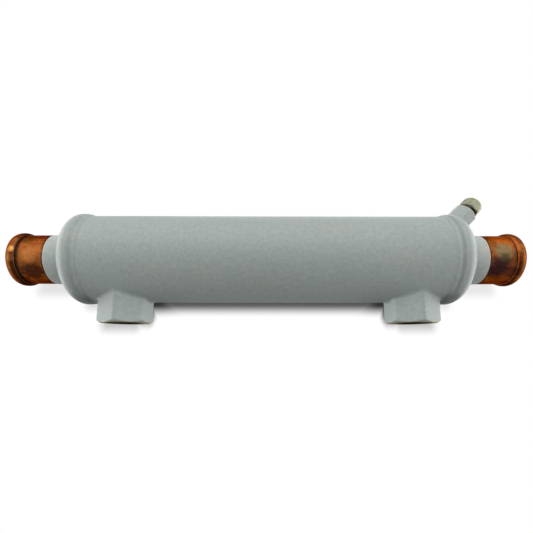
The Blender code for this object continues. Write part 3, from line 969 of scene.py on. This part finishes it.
def coupling(name, place, shape, outside, count=144):
    """A brazed hexagonal half coupling: fillet, flats, chamfered mouth, thread and throat."""
    angles = [math.tau * index / count for index in range(count)]
    flats = [hexagon(angle, shape["flats"]) for angle in angles]

    def seated(radii, lift):
        ring = []
        for angle, radius in zip(angles, radii):
            ring.append((seat(place, angle, radius, outside, shape["deepest"]) + lift, radius))
        return ring

    fillet = shape["fillet"]
    rings = [seated([flat + fillet for flat in flats], -0.25 * MM)]
    for step in range(8):
        turn = math.pi / 2 * (1 - step / 7)
        radii = [flat + fillet * (1 - math.cos(turn)) for flat in flats]
        rings.append(seated(radii, fillet * (1 - math.sin(turn))))
    face = shape["flats"] / 2 * 0.985
    for drop in shape["chamfer"]:
        rings.append([(-drop, min(flat, face + drop * 1.5)) for flat in flats])
    rings.append(even_ring(0.0, face - 0.12 * MM, count))
    for along, radius in ((0.0, shape["mouth"]), (-0.8 * MM, shape["thread"] + 0.3 * MM)):
        rings.append(even_ring(along, radius, count))
    steps = round((shape["depth"] - 1.0 * MM) / shape["pitch"] * THREAD_STEPS)
    for step in range(steps):
        along = -1.0 * MM - step * shape["pitch"] / THREAD_STEPS
        ring = []
        for angle in angles:
            wave = thread_wave(along, shape["pitch"], angle)
            ring.append((along, shape["thread"] + wave * shape["ridge"]))
        rings.append(ring)
    bottom = -shape["depth"] - 0.2 * MM
    rings.append(even_ring(bottom, shape["thread"] - shape["ridge"], count))
    rings.append(even_ring(bottom - 0.3 * MM, shape["throat"], count))
    for factor in (0.0, 0.5):
        radii = [shape["throat"] + (flat + fillet - shape["throat"]) * factor for flat in flats]
        rings.append(seated(radii, -0.3 * MM))
    return skin_rings(name, rings, place)


def darken_bore(mesh, place, radius, reach):
    """Give the faces down inside a coupling its second material."""
    back = place.inverted()
    for face in mesh.polygons:
        spot = back @ face.center
        if -reach < spot.x < -0.25 * MM and math.hypot(spot.y, spot.z) < radius:
            face.material_index = 1


def build_ports(port, cap, coat_material, bore_material):
    """The two hexagonal oil ports, brazed on to the underside of the shell."""
    shape = {
        "flats": port.across_flats,
        "fillet": port.fillet,
        "deepest": AXIS_Z - SHELL_R * 0.6,
        "chamfer": [value * MM for value in (1.5, 1.1, 0.7, 0.35, 0.12, 0.0)],
        "mouth": port.mouth,
        "thread": port.thread,
        "ridge": 0.55 * MM,
        "pitch": port.pitch,
        "depth": port.depth,
        "throat": 8.2 * MM,
    }
    outside = cap_outside(cap)
    for label, turn in (("left", port.turn), ("right", -port.turn)):
        place = port_frame(PORT_X[label], turn)
        mesh = coupling(f"oil_port_{label}", place, shape, outside)
        piece = add_piece(f"brazed_port_{label}", mesh, coat_material, bore_material)
        darken_bore(mesh, place, port.mouth + 0.1 * MM, AXIS_Z)
        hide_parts(f"oil_port_{label}")
        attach(piece, "cooler")


def build_boss(plug, cap, coat_material, bore_material):
    """The small hexagonal boss brazed to the right-hand cap."""
    shape = {
        "flats": plug.boss_flats,
        "fillet": 1.1 * MM,
        "deepest": 22.0 * MM,
        "chamfer": [value * MM for value in (0.8, 0.5, 0.2, 0.0)],
        "mouth": 5.5 * MM,
        "thread": 5.0 * MM,
        "ridge": 0.25 * MM,
        "pitch": plug.pitch,
        "depth": 7.6 * MM,
        "throat": 4.2 * MM,
    }
    place = plug_frame() @ Matrix.Rotation(math.pi / 2, 4, "X")
    mesh = coupling("anode_boss", place, shape, cap_outside(cap), count=96)
    piece = add_piece("brazed_boss", mesh, coat_material, bore_material)
    darken_bore(mesh, plug_frame(), 5.6 * MM, 22.0 * MM)
    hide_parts("anode_boss")
    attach(piece, "cooler")


def build_plug(plug, material):
    """The hex-headed plug, its thread cut up to the neck."""
    count = 96
    angles = [math.tau * index / count for index in range(count)]
    flats = [hexagon(angle, plug.plug_flats, 34.0) for angle in angles]
    shank = plug.shank
    socket = 2.5 * MM
    socket_end = -1.7 * MM
    thread_start, thread_rise, lead_in, ridge = 4.35 * MM, 0.22 * MM, 1.2 * MM, 0.25 * MM
    rings = [even_ring(socket_end, socket, count), even_ring(-shank, socket, count)]
    rings.append(even_ring(-shank, 4.15 * MM, count))
    steps = round((shank + plug.neck * 0.55) / plug.pitch * THREAD_STEPS)
    for step in range(steps + 1):
        along = -shank + 0.15 * MM + step * plug.pitch / THREAD_STEPS
        ring = []
        entry = min((along + shank) / lead_in, 1.0)
        crest = thread_start + thread_rise * entry
        for angle in angles:
            wave = thread_wave(along, plug.pitch, angle)
            ring.append((along, crest + wave * ridge * entry))
        rings.append(ring)
    rings.append(even_ring(plug.neck - 0.7 * MM, 4.2 * MM, count))
    rings.append(even_ring(plug.neck, 4.3 * MM, count))
    top = plug.neck + plug.head
    apothem = plug.plug_flats / 2
    for rise, limit in ((0.0, 0.93), (0.25, 1.0), (0.6, 1.1), (0.9, 1.2)):
        rings.append([(plug.neck + rise * MM, min(flat, apothem * limit)) for flat in flats])
    for drop in (2.0, 1.6, 1.2, 0.8, 0.5, 0.3, 0.15, 0.06):
        limit = apothem * 0.74 + math.sqrt(drop) * 1.36 * MM
        rings.append([(top - drop * MM, min(flat, limit)) for flat in flats])
    rings.append(even_ring(top - 0.05 * MM, apothem * 0.6, count))
    place = plug_frame() @ Matrix.Rotation(plug.turn, 4, "X")
    mesh = skin_rings("anode_plug", rings, place, looped=False)
    piece = add_piece("hex_plug", mesh, material)
    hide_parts("anode_plug")
    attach(piece, "plug")


def build_zinc(plug, material):
    """The zinc pencil, with the stub that the plug holds."""
    top = -plug.shank - 0.3 * MM
    foot = top - plug.zinc_length
    stub_end = top + plug.stub_length
    middle = 0.6 * MM
    outline = [
        (foot, middle, 0.0),
        (foot, plug.zinc_radius, 0.7 * MM),
        (top, plug.zinc_radius, 0.25 * MM),
        (top, plug.stub_radius, 0.0),
        (stub_end, plug.stub_radius, 0.3 * MM),
        (stub_end, middle, 0.0),
    ]
    rings = [even_ring(along, radius, 64) for along, radius in eased(outline)]
    mesh = skin_rings("zinc_anode", rings, plug_frame(), looped=False)
    piece = add_piece("zinc_pencil", mesh, material)
    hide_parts("zinc_anode")
    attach(piece, "anode")


# ---------------------------------------------------------------- stage
FLOOR_REACH = 0.95
BOARD_HALF_WIDTH = 0.26
BOARD_SLOPE = math.radians(18.6)
BOARD_BELOW = 0.085
BOARD_ABOVE = 0.006
KEY_PLACE = (-0.08, -0.60, 0.72)
KEY_SIZE = (1.1, 0.9)
BACK_PLACE = (0.1, 0.7, 0.6)
BACK_SIZE = (0.8, 0.6)
BACK_SHARE = 0.25
CAMERA_PLACE = (-0.00084, -0.1901, -0.01235)
CAMERA_TURN = (math.radians(97.9), 0.0, math.radians(-0.3))
CAMERA_SHIFT = (-0.0014, 0.0615)
# Contact shade on the board: middle x and z, half width and height, fades, strength.
CONTACT_SHADE = (
    (1.0, 27.0, 76.0, 13.5, 4.0, 9.0, 0.93),
    (-74.0, 24.0, 3.0, 11.0, 46.0, 9.5, 1.0),
    (76.0, 24.0, 3.0, 11.0, 42.0, 9.5, 1.0),
    (-75.8, 10.0, 2.0, 4.0, 5.5, 11.0, 1.0),
    (77.8, 10.0, 2.0, 4.0, 5.5, 11.0, 1.0),
    (-91.0, 8.0, 8.0, 7.0, 8.5, 9.0, 0.50),
    (93.0, 8.0, 8.0, 7.0, 8.5, 9.0, 0.50),
    (-124.0, 27.0, 22.0, 3.0, 9.0, 9.0, 0.26),
    (126.0, 27.0, 20.0, 3.0, 9.0, 9.0, 0.22),
    (-104.0, 17.0, 8.0, 3.0, 8.0, 8.0, 0.36),
    (106.0, 17.0, 8.0, 3.0, 8.0, 8.0, 0.24),
)


def faced_paper(paper, shade, cover):
    """Paper of the given shade, seen only from its face, and only where cover is above 0: white
    for the floor, dark as painted shade for the board.
    """
    paper.shader.inputs["Base Color"].default_value = (shade, shade, shade, 1.0)
    paper.shader.inputs["Specular IOR Level"].default_value = 0.0
    facing = 1.0 - paper.node("ShaderNodeNewGeometry").output("Backfacing")
    clear = paper.node("ShaderNodeBsdfTransparent")
    surface = Wire(paper, paper.shader.outputs["BSDF"])
    mixed = paper.node("ShaderNodeMixShader", inputs={0: facing * cover, 1: clear, 2: surface})
    paper.feed(paper.tree.nodes["Material Output"].inputs["Surface"], mixed)
    return paper.material


def floor_paper(shade):
    """The floor, fading out a long way off."""
    paper = Finish("floor_paper", 0.9)
    reach = paper.vector_maths("LENGTH", paper.place)
    return faced_paper(paper, shade, paper.fade(reach, 0.45, 0.9))


def contact_paper(shade, marks):
    """Dark paper close behind the cooler, painted as its contact shade and seen only where the
    marks put it.
    """
    paper = Finish("contact_paper", 0.9)
    cover = 0.0
    for x, z, half_x, half_z, fade_x, fade_z, strength in marks:
        centre = (x * MM, 0.0, z * MM)
        half = (half_x * MM, 1.0, half_z * MM)
        apart = paper.vector_maths("SUBTRACT", paper.place, centre)
        apart = paper.vector_maths("ABSOLUTE", apart)
        apart = paper.vector_maths("SUBTRACT", apart, half)
        apart = paper.vector_maths("MAXIMUM", apart, (0.0, 0.0, 0.0))
        fades = (fade_x * MM, 1.0, fade_z * MM)
        distance = paper.vector_maths("LENGTH", paper.vector_maths("DIVIDE", apart, fades))
        part = paper.fade(distance, 0.0, 1.0) * strength
        cover = paper.maths("MAXIMUM", cover, part)
    return faced_paper(paper, shade, cover)


def sheet_of_paper(name, corners, material):
    """A four-cornered stage sheet, faced by the order of its corners and left out of the light."""
    mesh = bpy.data.meshes.new(name)
    mesh.from_pydata(corners, [], [(0, 1, 2, 3)])
    paper = add_piece(name, mesh, material)
    paper.visible_shadow = False
    paper.visible_diffuse = False
    paper.visible_glossy = False


def area_light(name, place, target, size, power):
    """A large soft light turned to a target."""
    data = bpy.data.lights.new(name, "AREA")
    data.shape = "RECTANGLE"
    data.size, data.size_y = size
    data.energy = power
    lamp = bpy.data.objects.new(name, data)
    lamp.location = place
    aim = Vector(target) - Vector(place)
    lamp.rotation_euler = aim.to_track_quat("-Z", "Y").to_euler()
    lamp.visible_camera = False
    bpy.context.scene.collection.objects.link(lamp)


def light_surroundings(strength):
    """White to the eye, and as a light dimmer below, brighter above and to the sides."""
    world = bpy.data.worlds.new("surroundings")
    bpy.context.scene.world = world
    world.use_nodes = True
    world.node_tree.nodes.clear()
    graph = Graph(world.node_tree)
    ray = graph.node("ShaderNodeLightPath")
    way = graph.node("ShaderNodeTexCoord", output="Generated")
    split = graph.node("ShaderNodeSeparateXYZ", inputs={0: way})
    inputs = {"Value": split.output("Z"), "From Min": -0.8, "From Max": 0.9}
    above = graph.node("ShaderNodeMapRange", {"interpolation_type": "SMOOTHSTEP"}, inputs)
    sideways = split * split
    light = (0.12 + above * 0.50 + sideways * sideways * 3.4) * strength
    seen = ray + (1.0 - ray) * light
    glow = graph.node("ShaderNodeBackground", inputs={"Color": seen, "Strength": 1.0})
    graph.node("ShaderNodeOutputWorld", inputs={"Surface": glow})


def build_stage(stage):
    """Floor, leaning board, lights and camera."""
    scene = bpy.context.scene
    scene.view_settings.view_transform = "Standard"
    scene.view_settings.look = "None"
    light_surroundings(stage.fill)
    reach = FLOOR_REACH
    corners = [(-reach, -reach, 0), (reach, -reach, 0), (reach, reach, 0), (-reach, reach, 0)]
    sheet_of_paper("floor", corners, floor_paper(0.86))
    leaned = (math.cos(BOARD_SLOPE), math.sin(BOARD_SLOPE))
    touch = Vector((0.0, CAP_R * leaned[0], AXIS_Z - CAP_R * leaned[1]))
    along_board = Vector((0.0, leaned[1], leaned[0]))
    low = touch - along_board * BOARD_BELOW
    high = touch + along_board * BOARD_ABOVE
    half = BOARD_HALF_WIDTH
    corners = [(-half, *low[1:]), (half, *low[1:]), (half, *high[1:]), (-half, *high[1:])]
    sheet_of_paper("board", corners, contact_paper(0.12, CONTACT_SHADE))
    centre = (0.0, 0.0, AXIS_Z)
    area_light("key_light", KEY_PLACE, centre, KEY_SIZE, stage.key)
    area_light("back_light", BACK_PLACE, centre, BACK_SIZE, stage.key * BACK_SHARE)
    camera_data = bpy.data.cameras.new("camera")
    camera_data.lens = stage.lens
    camera_data.sensor_width = 36.0
    camera_data.shift_x, camera_data.shift_y = CAMERA_SHIFT
    camera_data.clip_start = 0.005
    camera = bpy.data.objects.new("camera", camera_data)
    camera.location = CAMERA_PLACE
    camera.rotation_euler = CAMERA_TURN
    scene.collection.objects.link(camera)
    scene.camera = camera


# ---------------------------------------------------------------- operators and panel
SETTINGS = {
    "cooler_enamel": EnamelSettings,
    "cooler_shell": ShellSettings,
    "cooler_cap": CapSettings,
    "cooler_spigot": SpigotSettings,
    "cooler_port": PortSettings,
    "cooler_plug": PlugSettings,
    "cooler_core": CoreSettings,
    "cooler_stage": StageSettings,
}


class Maker:
    """What every operator here does: make its pieces from the scene's settings."""

    def execute(self, context):
        self.make(context.scene)
        return {"FINISHED"}


class MakeShell(Maker, bpy.types.Operator):
    """Roll the shell and drill its oil holes"""

    bl_idname = "oil_cooler.shell"
    bl_label = "Shell"

    def make(self, scene):
        build_shell(scene.cooler_shell, body_enamel(scene.cooler_enamel))


class MakeEndCaps(Maker, bpy.types.Operator):
    """Spin the two end caps"""

    bl_idname = "oil_cooler.end_caps"
    bl_label = "End caps"

    def make(self, scene):
        build_end_caps(scene.cooler_cap, scene.cooler_spigot, body_enamel(scene.cooler_enamel))


class MakeSpigots(Maker, bpy.types.Operator):
    """Turn the beaded copper hose spigots"""

    bl_idname = "oil_cooler.spigots"
    bl_label = "Hose spigots"

    def make(self, scene):
        copper = masked_copper(scene.cooler_enamel, scene.cooler_spigot)
        build_spigots(scene.cooler_spigot, scene.cooler_enamel, copper)


class MakePorts(Maker, bpy.types.Operator):
    """Make the hexagonal oil ports with their threads"""

    bl_idname = "oil_cooler.ports"
    bl_label = "Oil ports"

    def make(self, scene):
        coat = coupling_enamel("port_enamel_coat", scene.cooler_enamel, 0.4 * MM, None)
        build_ports(scene.cooler_port, scene.cooler_cap, coat, thread_brass())


class MakePlug(Maker, bpy.types.Operator):
    """Make the boss, the plug and its zinc"""

    bl_idname = "oil_cooler.plug"
    bl_label = "Zinc plug"

    def make(self, scene):
        plug = scene.cooler_plug
        coat = coupling_enamel("boss_enamel_coat", scene.cooler_enamel, 0.5 * MM, PLUG_MOUTH)
        build_boss(plug, scene.cooler_cap, coat, thread_brass())
        build_plug(plug, plug_brass(plug))
        dark_zinc = tuple(value * 0.6 for value in plug.zinc)
        build_zinc(plug, plain_metal("cast_zinc", dark_zinc, tuple(plug.zinc), 0.55))


class MakeCore(Maker, bpy.types.Operator):
    """Lay the tube bundle and its sheets, and give the baffles brass"""

    bl_idname = "oil_cooler.core"
    bl_label = "Tube bundle"

    def make(self, scene):
        core = scene.cooler_core
        tube = plain_metal("drawn_cupronickel", (0.30, 0.20, 0.13), (0.62, 0.47, 0.35), 0.36)
        build_tubes(core, tube)
        brass = plain_metal("rolled_brass", (0.28, 0.18, 0.07), (0.60, 0.43, 0.17), 0.40, 420.0)
        build_tube_sheets(core, brass)
        for name, node in frame["nodes"].items():
            if name.startswith("baffle_"):
                for holder in node.material_slots:
                    holder.material = brass


class SetStage(Maker, bpy.types.Operator):
    """Set the floor, board, lights and camera"""

    bl_idname = "oil_cooler.stage"
    bl_label = "Stage"

    def make(self, scene):
        build_stage(scene.cooler_stage)


OPERATORS = (MakeShell, MakeEndCaps, MakeSpigots, MakePorts, MakePlug, MakeCore, SetStage)


class OilCoolerPanel(bpy.types.Panel):
    """Buttons and sizes of the oil cooler"""

    bl_idname = "VIEW3D_PT_oil_cooler"
    bl_label = "Oil Cooler"
    bl_space_type = "VIEW_3D"
    bl_region_type = "UI"
    bl_category = "Oil Cooler"

    def draw(self, context):
        for operator in OPERATORS:
            self.layout.operator(operator.bl_idname)
        for name, group in SETTINGS.items():
            box = self.layout.box()
            box.label(text=group.__doc__)
            for key in group.__annotations__:
                box.prop(getattr(context.scene, name), key)


def register():
    for group in SETTINGS.values():
        bpy.utils.register_class(group)
    for name, group in SETTINGS.items():
        setattr(bpy.types.Scene, name, PointerProperty(type=group))
    for item in (*OPERATORS, OilCoolerPanel):
        bpy.utils.register_class(item)


def unregister():
    for item in (OilCoolerPanel, *reversed(OPERATORS)):
        bpy.utils.unregister_class(item)
    for name, group in SETTINGS.items():
        delattr(bpy.types.Scene, name)
        bpy.utils.unregister_class(group)


def main():
    register()
    bpy.ops.oil_cooler.stage()
    bpy.ops.oil_cooler.shell()
    bpy.ops.oil_cooler.end_caps()
    bpy.ops.oil_cooler.spigots()
    bpy.ops.oil_cooler.ports()
    bpy.ops.oil_cooler.plug()
    bpy.ops.oil_cooler.core()


if __name__ == "__main__":
    main()
